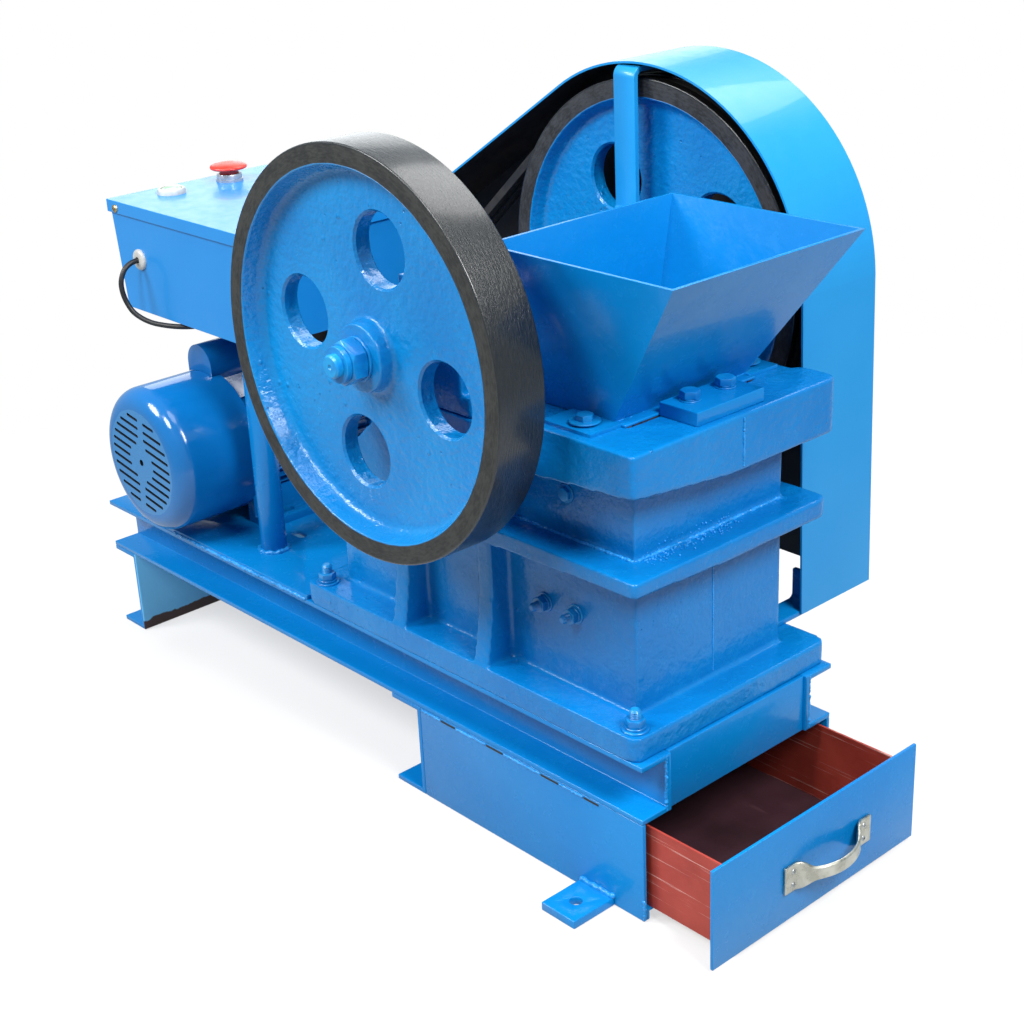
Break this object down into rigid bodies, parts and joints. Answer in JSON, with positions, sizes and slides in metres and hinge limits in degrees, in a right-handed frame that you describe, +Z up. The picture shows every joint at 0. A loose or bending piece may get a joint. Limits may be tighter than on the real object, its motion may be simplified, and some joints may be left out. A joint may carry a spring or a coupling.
{
  "type": "jaw crusher",
  "caption": "Small jaw crusher on a channel base, with belt-driven flywheels, open feed hopper, motor with control box, belt guard and a sliding collecting drawer",
  "frame": {"origin": "on the floor, midway between the two floor lug holes", "axes": "+X towards the drawer end, +Y towards the belt guard, +Z up"},
  "size_m": [0.94, 0.459, 0.652],
  "materials": {
    "blue_casting": "glossy blue enamel over rough casting",
    "blue_sheet": "glossy blue enamel",
    "guard_sheet": "light blue enamel, dark brown inside",
    "motor_paint": "high gloss blue enamel",
    "wheel_iron": "blue enamel web, glossy black rim",
    "jaw_steel": "worn manganese steel",
    "shaft_steel": "turned",
    "drawer_primer": "red oxide primer",
    "handle_nickel": "worn nickel",
    "belt_rubber": "matt",
    "white_plastic": "satin",
    "black_cable": "satin",
    "green_plastic": "gloss",
    "red_plastic": "gloss"
  },
  "bodies": {
    "machine": {"base_rail_near": "blue_sheet", "base_rail_far": "blue_sheet", "front_cross_plate": "blue_sheet", "rear_leg": "blue_sheet", "housing_side_near": "blue_sheet", "housing_side_far": "blue_sheet", "housing_back": "blue_sheet", "drawer_runners": "blue_sheet", "floor_lugs": "blue_sheet", "deck_plate": "blue_sheet", "hopper": "blue_sheet", "control_posts": "blue_sheet", "control_box": "blue_sheet", "control_box_lid": "blue_sheet", "guard_bracket": "blue_sheet", "jaw_clamp": "blue_sheet", "crusher_body": "blue_casting", "bearing_near": "blue_casting", "bearing_far": "blue_casting", "swing_jaw": "blue_casting", "toggle_plate": "blue_casting", "fixed_jaw": "jaw_steel", "moving_jaw_plate": "jaw_steel", "cheek_plates": "jaw_steel", "motor_pulley": "wheel_iron", "motor_body": "motor_paint", "motor_fan_cover": "motor_paint", "motor_feet": "motor_paint", "capacitor_housing": "motor_paint", "v_belts": "belt_rubber", "guard_band": "guard_sheet", "guard_face": "guard_sheet", "guard_strap": "guard_sheet", "cable_gland": "white_plastic", "button_collars": "white_plastic", "motor_lead": "black_cable"},
    "rotor": {"flywheel": "wheel_iron", "belt_pulley": "wheel_iron", "main_shaft": "shaft_steel", "shaft_nuts": "blue_casting"},
    "drawer": {"drawer_box": "drawer_primer", "drawer_front": "blue_sheet", "drawer_handle": "handle_nickel"},
    "start_cap": {"start_button": "green_plastic"},
    "stop_cap": {"stop_button": "red_plastic"}
  },
  "joints": [
    {"name": "flywheel_spin", "type": "hinge", "parent": "machine", "child": "rotor", "pos_m": [-0.19, 0, 0.462], "axis": [0, 1, 0], "continuous": true},
    {"name": "drawer_slide", "type": "slide", "parent": "machine", "child": "drawer", "axis": [1, 0, 0], "range_m": [-0.078, 0.12]},
    {"name": "start_push", "type": "slide", "parent": "machine", "child": "start_cap", "axis": [0, 0, -1], "range_m": [0, 0.003], "stiffness_N_per_m": 800},
    {"name": "stop_push", "type": "slide", "parent": "machine", "child": "stop_cap", "axis": [0, 0, -1], "range_m": [0, 0.004], "stiffness_N_per_m": 1500}
  ]
}
